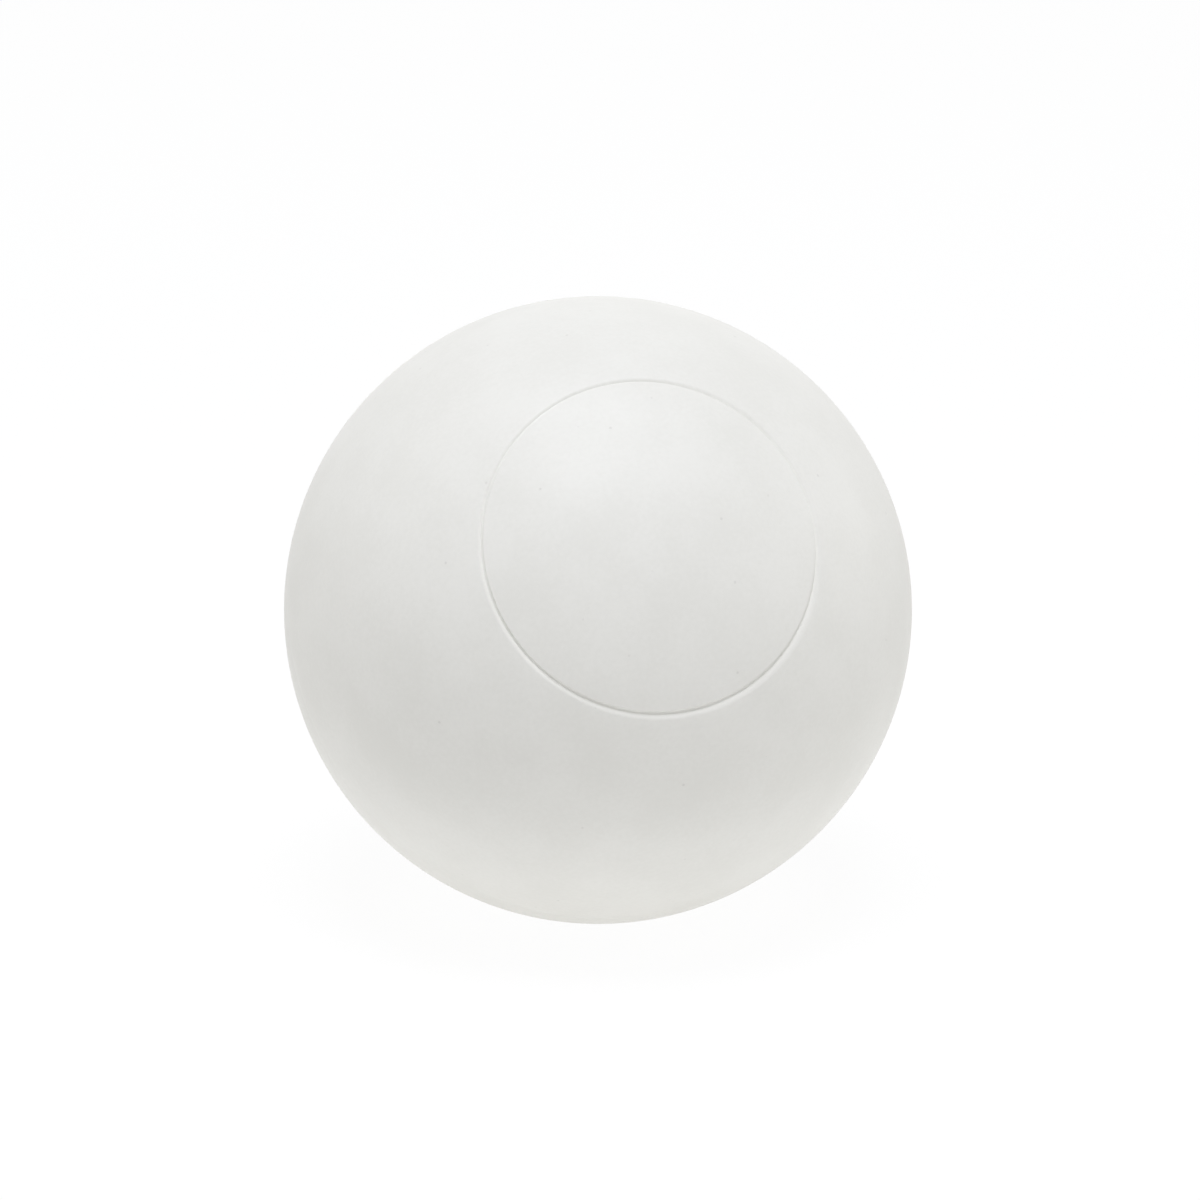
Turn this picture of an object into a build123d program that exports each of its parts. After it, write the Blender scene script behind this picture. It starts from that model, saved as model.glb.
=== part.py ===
from build123d import *
from math import asin, cos, degrees, radians, sin
import os

# A solid rubber lacrosse ball, in millimetres.
# A cured core ball sits inside a cover that is laid in the mould as two halves and bonded to it.
# The halves meet on the mould's parting plane. Square to that plane, the mould's axis runs from the
# ball's centre out through the middle of the marked half, where a ring groove goes round a blank disc
# that lies a trace under the ball's surface.
# The origin is the ball's centre and +Z is up. The marked pole looks towards the front, which is -Y.

# Driving dimensions
BALL_DIAMETER = 63.5
COVER_THICKNESS = 6.0
DISC_DIAMETER = 32.75  # the blank disc inside the ring, across the mould's axis
DISC_RECESS = 0.08  # from the ball's surface down to the disc
RING_WALL_HEIGHT = 0.17  # from the disc down to the groove's floor
RING_FLOOR_WIDTH = 0.2  # from the wall's foot out to the foot of the groove's outer side
RING_SIDE_WIDTH = 0.54  # from the foot of the outer side out to the groove's lip
RING_EDGE_RADIUS = 0.065  # rounding of the disc's edge and of its wall's foot
PARTING_EDGE_RADIUS = 0.05  # rounding of each half's rim, which leaves a fine line round the ball
MARK_ELEVATION = 30.0  # degrees from the horizontal up to the marked pole

# Derived sizes
ball_radius = BALL_DIAMETER / 2
core_radius = ball_radius - COVER_THICKNESS
disc_radius = DISC_DIAMETER / 2
disc_face_radius = ball_radius - DISC_RECESS
ring_floor_radius = disc_face_radius - RING_WALL_HEIGHT
ring_edge_radius = min(RING_EDGE_RADIUS, 0.4 * RING_WALL_HEIGHT)

# Angles off the mould's axis, in degrees
disc_edge_angle = degrees(asin(disc_radius / disc_face_radius))
wall_foot_angle = degrees(asin(disc_radius / ring_floor_radius))
side_foot_angle = wall_foot_angle + degrees(RING_FLOOR_WIDTH / ball_radius)
lip_angle = side_foot_angle + degrees(RING_SIDE_WIDTH / ball_radius)

# The section that every piece is turned from: X runs out from the mould's axis and Y runs along it,
# up to the marked pole
section = Plane.bottom.rotated((-MARK_ELEVATION, 0, 0))
mould_axis = Axis(section.origin, section.y_dir)
centre = (0, 0)
rim = (ball_radius, 0)
core_rim = (core_radius, 0)


def section_point(radius, angle):
    """The section's point at a radius from the centre and an angle, in degrees, off the mould's axis."""
    return Vector(radius * sin(radians(angle)), radius * cos(radians(angle)))


# Core: a plain rubber ball, as large as the hollow of the cover
with BuildPart() as core:
    with BuildSketch(section):
        with BuildLine():
            CenterArc(centre, core_radius, -90, 180)
            Line((0, core_radius), (0, -core_radius))
        make_face()
    revolve(axis=mould_axis)
core.part.label = "core"

# Marked half of the cover: the disc's wall runs along the mould's axis, so that the half lifts out of the
# mould, the groove's floor follows the ball's round, and the outer side runs out in an arc that is tangent
# to the ball
disc_edge = section_point(disc_face_radius, disc_edge_angle)
wall_foot = section_point(ring_floor_radius, wall_foot_angle)
side_foot = section_point(ring_floor_radius, side_foot_angle)
ring_lip = section_point(ball_radius, lip_angle)

with BuildPart() as marked_cover_half:
    with BuildSketch(section) as marked_section:
        with BuildLine():
            CenterArc(centre, ball_radius, 0, 90 - lip_angle)
            TangentArc(ring_lip, side_foot, tangent=(-ring_lip.Y, ring_lip.X))
            CenterArc(centre, ring_floor_radius, 90 - side_foot_angle, side_foot_angle - wall_foot_angle)
            Line(wall_foot, disc_edge)
            CenterArc(centre, disc_face_radius, 90 - disc_edge_angle, disc_edge_angle)
            Line((0, disc_face_radius), (0, core_radius))
            CenterArc(centre, core_radius, 0, 90)
            Line(core_rim, rim)
        make_face()
        for corner in (disc_edge, wall_foot):
            fillet(marked_section.vertices().sort_by_distance(corner)[0], ring_edge_radius)
        fillet(marked_section.vertices().sort_by_distance(rim)[0], PARTING_EDGE_RADIUS)
    revolve(axis=mould_axis)
marked_cover_half.part.label = "marked_cover_half"

# Plain half of the cover: a smooth half shell on the other side of the parting plane
with BuildPart() as plain_cover_half:
    with BuildSketch(section) as plain_section:
        with BuildLine():
            CenterArc(centre, ball_radius, 0, -90)
            Line((0, -ball_radius), (0, -core_radius))
            CenterArc(centre, core_radius, -90, 90)
            Line(core_rim, rim)
        make_face()
        fillet(plain_section.vertices().sort_by_distance(rim)[0], PARTING_EDGE_RADIUS)
    revolve(axis=mould_axis)
plain_cover_half.part.label = "plain_cover_half"

os.makedirs("parts", exist_ok=True)
export_step(core.part, "parts/core.step")
export_step(marked_cover_half.part, "parts/marked_cover_half.step")
export_step(plain_cover_half.part, "parts/plain_cover_half.step")
for piece in (core.part, marked_cover_half.part, plain_cover_half.part):
    print(f"{piece.label}: {piece.volume:.1f} mm3, valid {piece.is_valid}")
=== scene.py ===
# %% [markdown]
# # A lacrosse ball, turned like its mould
#
# A lacrosse ball is solid rubber, pressed in a two-plate mould. A cover of clean white rubber, laid in the
# mould as two halves, is bonded to a core of cheaper rubber. One half carries a fine ring groove round a
# bare disc. There is little to see on such a ball, so the little has to be right: a true round outline, the
# groove's fine shade and light, and a matte white that is neither flat nor glossy.
#
# The imported CAD model is the frame for everything here. It is loaded first, and its box is kept.

# %% Load the frame
import bmesh
import bpy
from math import asin, cos, pi, radians, sin, sqrt
from mathutils import Matrix, Vector


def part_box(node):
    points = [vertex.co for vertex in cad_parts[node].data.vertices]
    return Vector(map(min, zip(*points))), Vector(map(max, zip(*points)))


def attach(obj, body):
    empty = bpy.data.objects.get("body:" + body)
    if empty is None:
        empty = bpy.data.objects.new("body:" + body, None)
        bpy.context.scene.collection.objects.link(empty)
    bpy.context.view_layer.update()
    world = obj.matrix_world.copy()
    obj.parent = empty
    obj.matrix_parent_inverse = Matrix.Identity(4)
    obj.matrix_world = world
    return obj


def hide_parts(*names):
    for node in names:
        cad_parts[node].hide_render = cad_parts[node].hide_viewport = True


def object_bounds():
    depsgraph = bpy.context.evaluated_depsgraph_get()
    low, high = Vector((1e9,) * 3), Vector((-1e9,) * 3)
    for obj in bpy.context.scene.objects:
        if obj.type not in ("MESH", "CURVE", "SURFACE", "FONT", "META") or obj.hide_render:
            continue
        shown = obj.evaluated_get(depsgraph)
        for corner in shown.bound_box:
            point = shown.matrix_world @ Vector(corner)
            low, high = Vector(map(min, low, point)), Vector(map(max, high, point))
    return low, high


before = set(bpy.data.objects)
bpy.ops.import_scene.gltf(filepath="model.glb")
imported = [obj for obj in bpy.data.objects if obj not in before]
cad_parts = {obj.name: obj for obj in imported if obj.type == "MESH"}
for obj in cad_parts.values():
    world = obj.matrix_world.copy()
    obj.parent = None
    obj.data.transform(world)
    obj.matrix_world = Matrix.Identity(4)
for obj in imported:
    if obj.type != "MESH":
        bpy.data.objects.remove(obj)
cad_low, cad_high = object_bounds()
print("pieces of the frame:", sorted(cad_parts))

# %% [markdown]
# The ball's two main sizes come from the frame, so they can't drift away from the CAD model. The groove is
# finer than a box can tell, so its sizes are written further down. Blender works in metres, so each size on
# the ball is written in millimetres, as on a drawing, times `MM`.

# %% Sizes
MM = 0.001
BALL_RADIUS = (cad_high.x - cad_low.x) / 2
core_low, core_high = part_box("core")
CORE_RADIUS = (core_high.x - core_low.x) / 2
COVER_THICKNESS = BALL_RADIUS - CORE_RADIUS
print(f"ball {2 * BALL_RADIUS / MM:.2f} mm across, core {2 * CORE_RADIUS / MM:.2f} mm across")

# %% [markdown]
# ## The camera
#
# The camera comes early, because every later look through it is a comparison with the photograph. The ring
# shows the viewing angle: a circle seen from the side is an ellipse, and its place on the ball and its two
# widths leave one direction and, less surely, one distance. The ball's outline then gives the lens. A sphere
# looks a little larger than its radius, because the lines of sight that graze it touch it in front of its
# middle. A small shift puts the ball where it stands in the picture.

# %% Camera
FRAME_PX = 1200  # the photograph's side
OUTLINE_CENTRE_PX = (598.0, 610.0)
OUTLINE_RADIUS_PX = 314.0
VIEW_AZIMUTH = -12.40  # degrees, a little to the left of the front
VIEW_ELEVATION = 17.22  # degrees
VIEW_DISTANCE = 0.554  # metres from the ball's centre
CLIP_START = 0.01  # metres


def direction(azimuth, elevation):
    """The unit vector from the ball to a place round it: azimuth 0 is the front, and 90 is the right."""
    turn, climb = radians(azimuth), radians(elevation)
    return Vector((sin(turn) * cos(climb), -cos(turn) * cos(climb), sin(climb)))


camera = bpy.data.objects.new("camera", bpy.data.cameras.new("camera"))
bpy.context.scene.collection.objects.link(camera)
bpy.context.scene.camera = camera
camera.location = VIEW_DISTANCE * direction(VIEW_AZIMUTH, VIEW_ELEVATION)
camera.rotation_euler = camera.location.to_track_quat("Z", "Y").to_euler()
outline_slope = BALL_RADIUS / sqrt(VIEW_DISTANCE**2 - BALL_RADIUS**2)
camera.data.lens = camera.data.sensor_width * OUTLINE_RADIUS_PX / FRAME_PX / outline_slope
camera.data.shift_x = 0.5 - OUTLINE_CENTRE_PX[0] / FRAME_PX
camera.data.shift_y = OUTLINE_CENTRE_PX[1] / FRAME_PX - 0.5
camera.data.clip_start = CLIP_START
print(f"lens {camera.data.lens:.1f} mm")

# %% [markdown]
# ## The cover
#
# A mould for a ball is turned on a lathe, and the same way suits the mesh: draw half of the section, then
# carry it round the axis. A ready-made sphere has no groove, no rim and no wall, and a groove cut into it
# afterwards leaves a ragged edge. A drawn section has points exactly where the shape bends: few on
# the round of the ball, many in the groove.
#
# The section is drawn in two numbers, an angle off the mould's axis and a depth under the ball's surface.
# Three small helpers draw all of it: a point, a stretch of a sphere, and a corner that is pulled round.

# %% Section helpers
ROUND_STEP = radians(2.0)  # between two points on the round of the ball
CORNER_STEPS = 6  # between the first and the last point of a rounding


def in_ball(angle, depth=0.0):
    """The section's point at an angle off the mould's axis, at a depth under the ball's surface."""
    return (BALL_RADIUS - depth) * Vector((sin(angle), cos(angle)))


def sphere_points(start, end, depth_at):
    """Points of a round stretch of the section, at the depth that a function gives for each angle."""
    count = max(1, round(abs(end - start) / ROUND_STEP))
    angles = [start + (end - start) * k / count for k in range(count + 1)]
    return [in_ball(angle, depth_at(angle)) for angle in angles]


def rounded(before, corner, after):
    """A corner's rounding: a curve from one point to another, which the corner pulls towards itself."""
    shares = [k / CORNER_STEPS for k in range(CORNER_STEPS + 1)]
    return [before.lerp(corner, t).lerp(corner.lerp(after, t), t) for t in shares]


print("one degree on the ball is", round(BALL_RADIUS / MM * radians(1), 2), "mm")

# %% [markdown]
# The ring groove is the ball's finest feature. An insert in the mould forms the disc, so the groove's inner
# wall is crisp, and it runs along the mould's axis, or the half wouldn't lift out of the mould. Past a narrow
# floor, the outer side was blended by hand into the round of the mould: it leaves the floor at a slope and
# runs out until it is level with the ball. The insert sat a hair tilted. At the left its disc is level with
# the ball, and at the right it lies 0.17 mm deep, where the outer side is wider too. The photograph shows
# that tilt: the groove is dark and bright at the lower right, and fades at the upper left.

# %% The ring groove's section
DISC_RADIUS = 16.35 * MM  # square to the mould's axis
DISC_RECESS = 0.08 * MM  # from the ball's surface down to the disc's middle
DISC_TILT = 0.09 * MM  # what the tilt adds to the recess, or takes from it, at the disc's edge
TILT_DIRECTION = radians(-28)  # where the disc lies deepest: round the mould's axis, from the right
WALL_HEIGHT = 0.173 * MM  # from the disc down to the groove's floor
FLOOR_WIDTH = 0.21 * MM
SIDE_WIDTH = 0.53 * MM  # of the outer side, on average
SIDE_SWING = 0.23 * MM  # what the tilt adds to that width, or takes from it
RING_EDGE = 0.05 * MM  # what a rounding takes up on each side of its corner
DISC_ANGLE = asin(DISC_RADIUS / (BALL_RADIUS - DISC_RECESS))
EDGE_ANGLE = RING_EDGE / BALL_RADIUS
EDGE_SHARE = RING_EDGE / WALL_HEIGHT


def disc_depth(angle, turn):
    """How deep the disc lies at a place on it: the recess, and what the tilt adds or takes away."""
    return DISC_RECESS + DISC_TILT * angle / DISC_ANGLE * cos(turn - TILT_DIRECTION)


def groove_points(turn):
    """The groove's section at an angle round the mould's axis, from the disc's edge to the outer lip."""
    recess = disc_depth(DISC_ANGLE, turn)
    floor = recess + WALL_HEIGHT
    edge = in_ball(DISC_ANGLE, recess)
    foot_angle = asin(edge.x / (BALL_RADIUS - floor))
    foot = in_ball(foot_angle, floor)
    side_start = foot_angle + FLOOR_WIDTH / BALL_RADIUS
    side_angle = (SIDE_WIDTH + SIDE_SWING * cos(turn - TILT_DIRECTION)) / BALL_RADIUS
    disc_edge = rounded(in_ball(DISC_ANGLE - EDGE_ANGLE, recess), edge, edge.lerp(foot, EDGE_SHARE))
    root = rounded(foot.lerp(edge, EDGE_SHARE), foot, in_ball(foot_angle + EDGE_ANGLE, floor))
    outer_side = rounded(
        in_ball(side_start, floor),
        in_ball(side_start + side_angle / 2),
        in_ball(side_start + side_angle),
    )
    return disc_edge + root + outer_side


print("points across the groove:", len(groove_points(0.0)))

# %% [markdown]
# A half of the cover is a thick shell: the outside, a rim that is rounded by a hair, the flat face that meets
# the other half, and the hollow that sits on the core. The rounded rims leave a hairline round the ball,
# which is the mould's parting line. `turn_half` carries a section round the axis. At both ends of the section
# the copies meet in one point, so they are welded there.

# %% Turning a half
MARK_ELEVATION = 30.0  # degrees from the horizontal up to the middle of the ring
TURNS = 240  # copies of the section round the axis
RIM_ROUNDING = 0.05 * MM
RIM_START = pi / 2 - RIM_ROUNDING / BALL_RADIUS
WELD_DISTANCE = 0.001 * MM
CREASE_ANGLE = radians(30)  # a sharper bend than this is shaded as an edge
mould_frame = Matrix.Rotation(radians(90 - MARK_ELEVATION), 4, "X")
mould_axis = mould_frame.col[2].to_3d()


def half_section(outside):
    """A half's whole section: its outside, from the pole outwards, then its rim and its hollow."""
    rim_edge = rounded(in_ball(RIM_START), in_ball(pi / 2), in_ball(pi / 2, RIM_ROUNDING))
    hollow = sphere_points(pi / 2, 0, lambda angle: COVER_THICKNESS)
    return outside + rim_edge + hollow


def turn_half(name, section_at, side):
    """A closed half shell on one side of the parting plane, turned from the section at each angle."""
    shell = bmesh.new()
    rows = []
    for k in range(TURNS):
        turn = 2 * pi * k / TURNS
        points = section_at(turn)
        rows.append([shell.verts.new((p.x * cos(turn), p.x * sin(turn), side * p.y)) for p in points])
    for row, following in zip(rows, rows[1:] + rows[:1]):
        for k in range(len(row) - 1):
            shell.faces.new((row[k], row[k + 1], following[k + 1], following[k]))
    bmesh.ops.remove_doubles(shell, verts=shell.verts, dist=WELD_DISTANCE)
    bmesh.ops.recalc_face_normals(shell, faces=shell.faces)
    bmesh.ops.transform(shell, matrix=mould_frame, verts=shell.verts)
    mesh = bpy.data.meshes.new(name)
    shell.to_mesh(mesh)
    shell.free()
    mesh.shade_smooth()
    mesh.set_sharp_from_angle(angle=CREASE_ANGLE)
    half = bpy.data.objects.new(name, mesh)
    bpy.context.scene.collection.objects.link(half)
    print(f"{name}: {len(mesh.vertices)} points, {len(mesh.polygons)} faces")
    return half


print("the mould's axis:", [round(part, 3) for part in mould_axis])

# %% [markdown]
# The two halves differ only in their outside. The plain one is round from its pole to its rim. The marked one
# has the disc, the groove, and then the flank down to the rim. Its groove is wider on one side than on the
# other, but a turned mesh needs the same number of points in every section. So the flank starts at one angle
# all round, outside the groove's widest place.

# %% The two halves
GROOVE_WIDTH = FLOOR_WIDTH + SIDE_WIDTH + SIDE_SWING  # at its widest
FLANK_START = DISC_ANGLE + 2 * GROOVE_WIDTH / BALL_RADIUS  # as far outside the groove as it is wide


def marked_section(turn):
    """The marked half's section: the disc, the groove, then the flank down to the rim."""
    disc = sphere_points(0, DISC_ANGLE - EDGE_ANGLE, lambda angle: disc_depth(angle, turn))
    flank = sphere_points(FLANK_START, RIM_START, lambda angle: 0.0)
    return half_section(disc[:-1] + groove_points(turn) + flank[:-1])


def plain_section(turn):
    """The plain half's section, the same at every angle: the ball's round from the pole to the rim."""
    return half_section(sphere_points(0, RIM_START, lambda angle: 0.0)[:-1])


marked_half = turn_half("marked_half", marked_section, 1)
plain_half = turn_half("plain_half", plain_section, -1)

# %% [markdown]
# ## Finishes
#
# A finish is a small sum: so much grain, so much cloud, less where there is a pit. Drawn as nodes by hand,
# a sum like that takes a page. `Wire` wraps a node's output, so that the sum is written as a sum: each
# operator adds the Math node that it stands for. `node` adds any other kind of node, with its settings first,
# because they decide which sockets it has. The few nodes that more than one finish uses have a method each.

# %% Sums on wires
class Wire:
    """An output of a shader node. Arithmetic on it adds Math nodes to the same tree."""

    def __init__(self, output):
        self.output = output

    def __getitem__(self, name):
        """Another output of the same node."""
        return Wire(self.output.node.outputs[name])

    def plug(self, sockets):
        """Gives sockets of this wire's own node a value each, or a wire."""
        found = {socket.identifier: socket for socket in self.output.node.inputs}
        for name, value in sockets.items():
            if isinstance(value, Wire):
                self.output.id_data.links.new(value.output, found[name])
            else:
                found[name].default_value = value
        return self

    def node(self, kind, settings, sockets):
        """Adds a node to this wire's tree: its kind, then its settings, then what its sockets get."""
        added = self.output.id_data.nodes.new(kind)
        for name, value in settings.items():
            setattr(added, name, value)
        return Wire(next(output for output in added.outputs if output.enabled)).plug(sockets)

    def maths(self, operation, first, second=0.0):
        """Adds a Math node, which the operators below stand for."""
        return self.node("ShaderNodeMath", {"operation": operation}, {"Value": first, "Value_001": second})

    def __add__(self, other):
        return self.maths("ADD", self, other)

    def __sub__(self, other):
        return self.maths("SUBTRACT", self, other)

    def __rsub__(self, other):
        return self.maths("SUBTRACT", other, self)

    def __mul__(self, other):
        return self.maths("MULTIPLY", self, other)

    def __abs__(self):
        return self.maths("ABSOLUTE", self)

    __radd__ = __add__
    __rmul__ = __mul__

    def rise(self, low, high):
        """0 below one value, 1 above another, and smooth between them."""
        sockets = {"Value": self, "From Min": low, "From Max": high}
        return self.node("ShaderNodeMapRange", {"interpolation_type": "SMOOTHSTEP"}, sockets)

    def blend(self, colour_at_0, colour_at_1):
        """A colour that goes from one to another as this wire goes from 0 to 1."""
        sockets = {"Factor_Float": self, "A_Color": colour_at_0, "B_Color": colour_at_1}
        return self.node("ShaderNodeMix", {"data_type": "RGBA"}, sockets)

    def place(self):
        """The place on the piece, in metres from the ball's centre."""
        return self.node("ShaderNodeTexCoord", {}, {})["Object"]

    def noise(self, size, detail):
        """Soft noise with lumps of a size in metres. This wire is the place."""
        return self.node("ShaderNodeTexNoise", {}, {"Vector": self, "Scale": 1 / size, "Detail": detail})

    def cells(self, size):
        """Random cells of a size in metres: the distance from a cell's middle, as a share of that size."""
        return self.node("ShaderNodeTexVoronoi", {}, {"Vector": self, "Scale": 1 / size})

    def bump(self):
        """The normal of a surface with a relief, which this wire gives in metres."""
        return self.node("ShaderNodeBump", {}, {"Height": self, "Distance": 1.0})


def new_finish(name):
    """A material, and a wire from its Principled shader."""
    material = bpy.data.materials.new(name)
    material.use_nodes = True
    return material, Wire(material.node_tree.nodes["Principled BSDF"].outputs["BSDF"])


print("operators on wires:", "+ - * abs")

# %% [markdown]
# ### White cover rubber
#
# Fresh white rubber is matte, a little warm, and not quite even. Chalk and pigment are milled into it, which
# leaves faint clouds some millimetres wide and a fine grain. The mould leaves a few shallow pits where air
# was trapped, each a fraction of a millimetre across, with painted shade in it that makes it a little darker
# than the rest. An image of rubber would repeat and smear on a ball, so all of it is worked out from the place
# in space. The place's dot product with the mould's axis is its height along that axis. It finds the parting
# line, where the flash was ground off and the rubber is a trace smoother.

# %% Patterns in the cover rubber
CLOUD_SIZE = 7.0 * MM
GRAIN_SIZE = 0.45 * MM
COVER_DETAIL = 2.0
PIT_SPACING = 3.6 * MM
PIT_RADIUS = 0.2 * MM
PIT_FLOOR_RADIUS = PIT_RADIUS / 3
GROUND_WIDTH = 0.8 * MM  # on each side of the parting line
GROUND_EVEN_WIDTH = GROUND_WIDTH / 4  # where the grinding doesn't fade yet

cover_rubber, surface = new_finish("cover_rubber")
place = surface.place()
clouds = place.noise(CLOUD_SIZE, COVER_DETAIL)
grain = place.noise(GRAIN_SIZE, COVER_DETAIL)
pit_distance = PIT_SPACING * place.cells(PIT_SPACING)
pits = 1 - pit_distance.rise(PIT_FLOOR_RADIUS, PIT_RADIUS)
along_axis = place.node("ShaderNodeVectorMath", {"operation": "DOT_PRODUCT"}, {
    "Vector": place,
    "Vector_001": mould_axis,
})
ground_flash = 1 - abs(along_axis).rise(GROUND_EVEN_WIDTH, GROUND_WIDTH)
print("patterns in the cover rubber:", len(cover_rubber.node_tree.nodes), "nodes")

# %% Cover rubber
WHITE_DEEP = (0.794, 0.785, 0.739, 1)
WHITE_PALE = (0.830, 0.821, 0.777, 1)
# the pits' grey is painted shade in the pits
PIT_SHADE_GREY = (0.52, 0.51, 0.48, 1)
CLOUD_SHARE = 0.6  # of the unevenness, and grain is the rest
UNEVEN_LOW = 0.3  # below this, all is the deep white
UNEVEN_HIGH = 0.7  # above this, all is the pale white
PIT_SHADE_SHARE = 0.3  # how much of the painted shade in a pit shows
COVER_ROUGHNESS = 0.55
GRAIN_ROUGHNESS = 0.12  # how far the roughness goes up and down with the grain
NOISE_MIDDLE = 0.5  # what the grain is on average
GROUND_SMOOTHNESS = 0.06  # what the grinding takes from the roughness
GRAIN_HEIGHT = 0.006 * MM
PIT_DEPTH = 0.02 * MM

uneven = CLOUD_SHARE * clouds + (1 - CLOUD_SHARE) * grain
white = uneven.rise(UNEVEN_LOW, UNEVEN_HIGH).blend(WHITE_DEEP, WHITE_PALE)
matte = COVER_ROUGHNESS + GRAIN_ROUGHNESS * (grain - NOISE_MIDDLE)
relief = GRAIN_HEIGHT * grain * (1 - ground_flash) - PIT_DEPTH * pits
surface.plug({
    # the pits get painted shade in the base colour
    "Base Color": (PIT_SHADE_SHARE * pits).blend(white, PIT_SHADE_GREY),
    "Roughness": matte - GROUND_SMOOTHNESS * ground_flash,
    "Normal": relief.bump(),
})
for half in (marked_half, plain_half):
    half.data.materials.append(cover_rubber)
print("cover rubber:", len(cover_rubber.node_tree.nodes), "nodes")

# %% [markdown]
# ### Core rubber
#
# The core never shows on a whole ball, but it shows as soon as someone cuts the part open. Cores are made of
# cheaper rubber with ground scrap in it. A Voronoi texture breaks the solid into crumbs, each with a random
# colour, and one channel of it is enough to tint the crumbs. The core keeps its CAD mesh, whose shape is
# right, and only its material changes.

# %% Core rubber
CRUMB_SIZE = 1.4 * MM
CRUMB_HEIGHT = 0.03 * MM
CORE_DETAIL = 3.0
CORE_DARK = (0.30, 0.29, 0.27, 1)
CORE_LIGHT = (0.50, 0.49, 0.47, 1)
CRUMB_SHARE = 0.7  # of the tint, and grain is the rest
CORE_ROUGHNESS = 0.75
CORE_GRAIN_ROUGHNESS = 0.2  # how far the roughness goes up and down with the grain

core_rubber, surface = new_finish("core_rubber")
place = surface.place()
grain = place.noise(GRAIN_SIZE, CORE_DETAIL)
crumbs = place.cells(CRUMB_SIZE)
crumb_tint = crumbs.node("ShaderNodeSeparateColor", {}, {"Color": crumbs["Color"]})
tint = CRUMB_SHARE * crumb_tint + (1 - CRUMB_SHARE) * grain
relief = CRUMB_HEIGHT * (grain - crumbs)
surface.plug({
    "Base Color": tint.blend(CORE_DARK, CORE_LIGHT),
    "Roughness": CORE_ROUGHNESS + CORE_GRAIN_ROUGHNESS * (grain - NOISE_MIDDLE),
    "Normal": relief.bump(),
})
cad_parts["core"].material_slots[0].material = core_rubber
print("core rubber:", len(core_rubber.node_tree.nodes), "nodes")

# %% [markdown]
# ## Table and light
#
# The ball was photographed on a lit white table: its underside is bright, and the picture round it is white.
# A plain table lit only from above would leave the underside dark, so the table glows a little. For the eye,
# straight or by way of a reflection, most of the table's shade is traded for plain white, and what is left of
# it is the ball's shadow.

# %% Light table
TABLE_RADIUS = 0.7  # metres
TABLE_EDGES = 96

table_mesh = bpy.data.meshes.new("light_table")
table_top = bmesh.new()
bmesh.ops.create_circle(table_top, cap_ends=True, segments=TABLE_EDGES, radius=TABLE_RADIUS)
table_top.to_mesh(table_mesh)
table_top.free()
light_table = bpy.data.objects.new("light_table", table_mesh)
light_table.location.z = -BALL_RADIUS
bpy.context.scene.collection.objects.link(light_table)
print(f"table {2 * TABLE_RADIUS:.1f} m across, {BALL_RADIUS / MM:.2f} mm under the ball's centre")

# %% Table finish
TABLE_GREY = (0.5, 0.5, 0.5, 1)
TABLE_ROUGHNESS = 0.9
TABLE_GLOW = 0.55
WHITE = (1, 1, 1, 1)
WHITE_STRENGTH = 1.0  # at which white is just white in the picture
WHITE_SHARE = 0.85  # of the table's shade that is traded for white


def seen_by_eye(wire):
    """1 on a ray from the eye, straight, reflected or through glass, and 0 on light that only bounces."""
    rays = wire.node("ShaderNodeLightPath", {}, {})
    return rays["Is Camera Ray"] + rays["Is Glossy Ray"] + rays["Is Transmission Ray"]


table_white, surface = new_finish("table_white")
surface.plug({
    "Base Color": TABLE_GREY,
    "Roughness": TABLE_ROUGHNESS,
    "Emission Color": WHITE,
    "Emission Strength": TABLE_GLOW,
})
plain_white = surface.node("ShaderNodeEmission", {}, {"Color": WHITE, "Strength": WHITE_STRENGTH})
shade_or_white = surface.node("ShaderNodeMixShader", {}, {
    "Fac": WHITE_SHARE * seen_by_eye(surface),
    "Shader": surface,
    "Shader_001": plain_white,
})
table_output = table_white.node_tree.nodes["Material Output"]
table_white.node_tree.links.new(shade_or_white.output, table_output.inputs["Surface"])
table_mesh.materials.append(table_white)
print("table finish:", len(table_white.node_tree.nodes), "nodes")

# %% [markdown]
# The light is soft and comes from all round, as in a light tent. A box high overhead gives most of it. Wide
# ones at the left and low behind, and smaller ones at the right and in front, keep the sides from going grey.
# The front below the ring gets least, so the ball is darkest there. The strengths keep a colour about as it
# is written.

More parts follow.
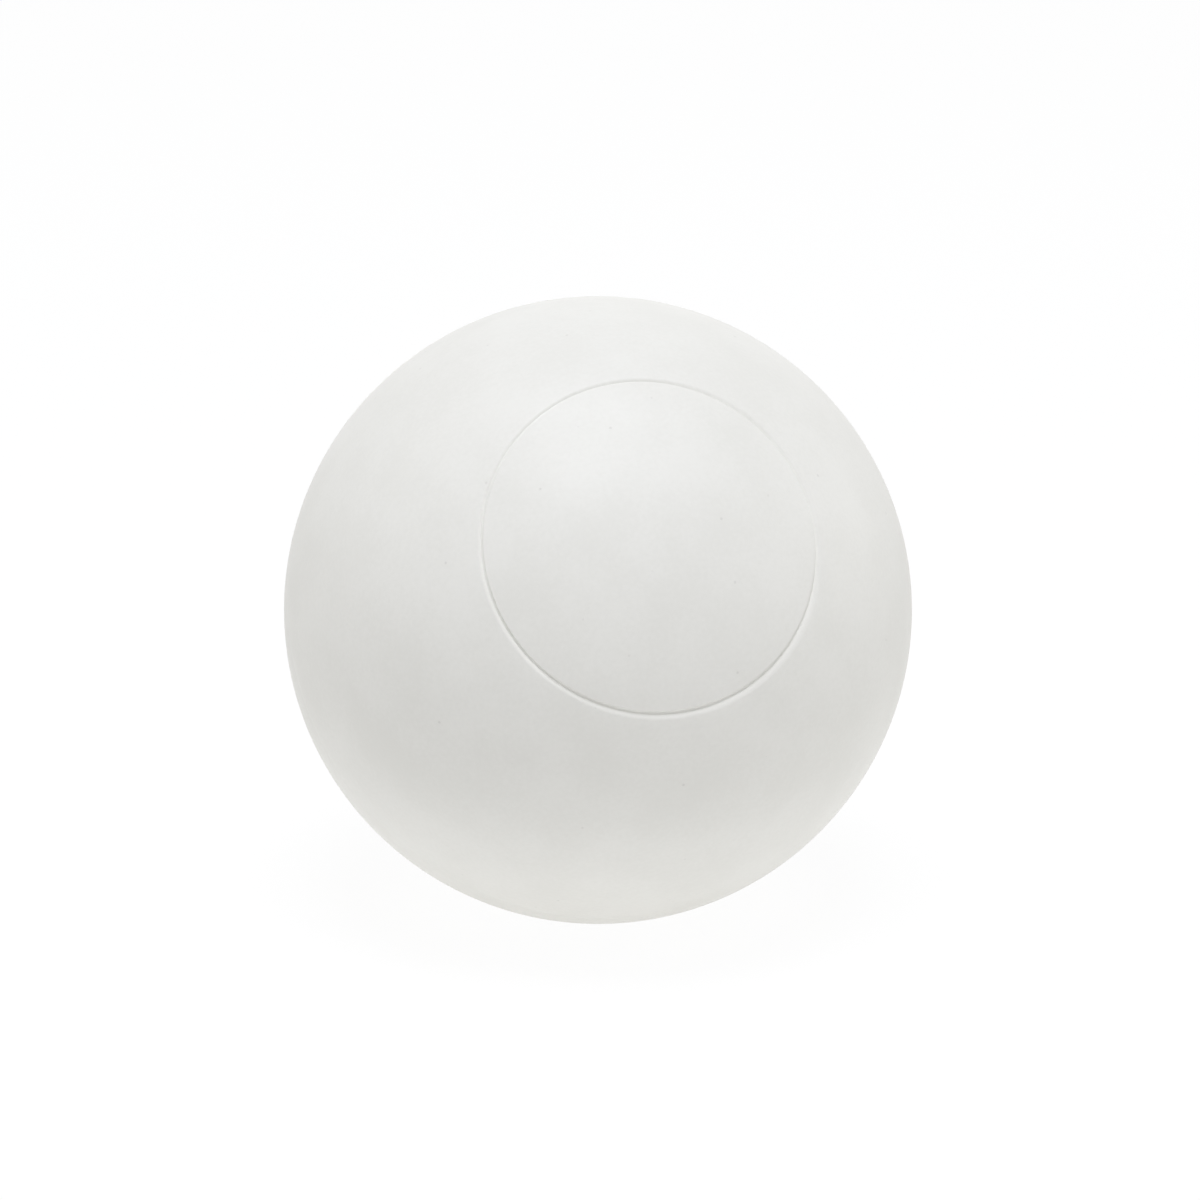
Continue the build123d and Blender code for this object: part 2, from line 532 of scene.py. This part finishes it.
# %% Soft boxes
BOX_DISTANCE = 0.8  # metres from the ball's centre
NEUTRAL = (1.0, 1.0, 1.0)
COOL = (0.925, 0.943, 1.0)
SOFT_BOXES = {  # azimuth and elevation in degrees, side in metres, power in watts, colour
    "overhead": (-12, 75, 0.4, 4.7, COOL),
    "left_side": (-115, 28, 0.7, 1.28, NEUTRAL),
    "right_side": (98, 12, 0.35, 0.87, NEUTRAL),
    "front": (37, 40, 0.3, 0.56, NEUTRAL),
    "behind": (168, 8, 0.9, 0.7, NEUTRAL),
}

for name, (azimuth, elevation, side, watts, colour) in SOFT_BOXES.items():
    lamp = bpy.data.lights.new(name, "AREA")
    lamp.size = side
    lamp.energy = watts
    lamp.color = colour
    box = bpy.data.objects.new(name, lamp)
    box.location = BOX_DISTANCE * direction(azimuth, elevation)
    box.rotation_euler = box.location.to_track_quat("Z", "Y").to_euler()
    box.visible_camera = False
    bpy.context.scene.collection.objects.link(box)
    print(f"{name}: {watts} watts from {azimuth} degrees round, {elevation} degrees up")

# %% [markdown]
# The tent itself gives a dim fill from everywhere. The eye sees plain white in its place, as on the table, so
# the backdrop is white in the picture while the fill on the ball stays dim.

# %% Tent
FILL = 0.2  # a strength, like the white's

tent = bpy.data.worlds.new("tent")
bpy.context.scene.world = tent
tent.use_nodes = True
fill = Wire(tent.node_tree.nodes["Background"].outputs["Background"])
fill.plug({"Color": WHITE, "Strength": FILL})
backdrop = fill.node("ShaderNodeBackground", {}, {"Color": WHITE, "Strength": WHITE_STRENGTH})
fill_or_backdrop = fill.node("ShaderNodeMixShader", {}, {
    "Fac": seen_by_eye(fill),
    "Shader": fill,
    "Shader_001": backdrop,
})
tent.node_tree.links.new(fill_or_backdrop.output, tent.node_tree.nodes["World Output"].inputs["Surface"])
bpy.context.scene.view_settings.view_transform = "Standard"
print("fill:", FILL, "of the white that the eye sees")

# %% [markdown]
# ## Handing over
#
# Nothing on a ball moves by itself, so both halves ride on the frame's one body. Each stands for its half of
# the CAD model, which stays in the frame for collisions.

# %% Hand over
for half, node in ((marked_half, "marked_cover_half"), (plain_half, "plain_cover_half")):
    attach(half, "root")
    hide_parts(node)
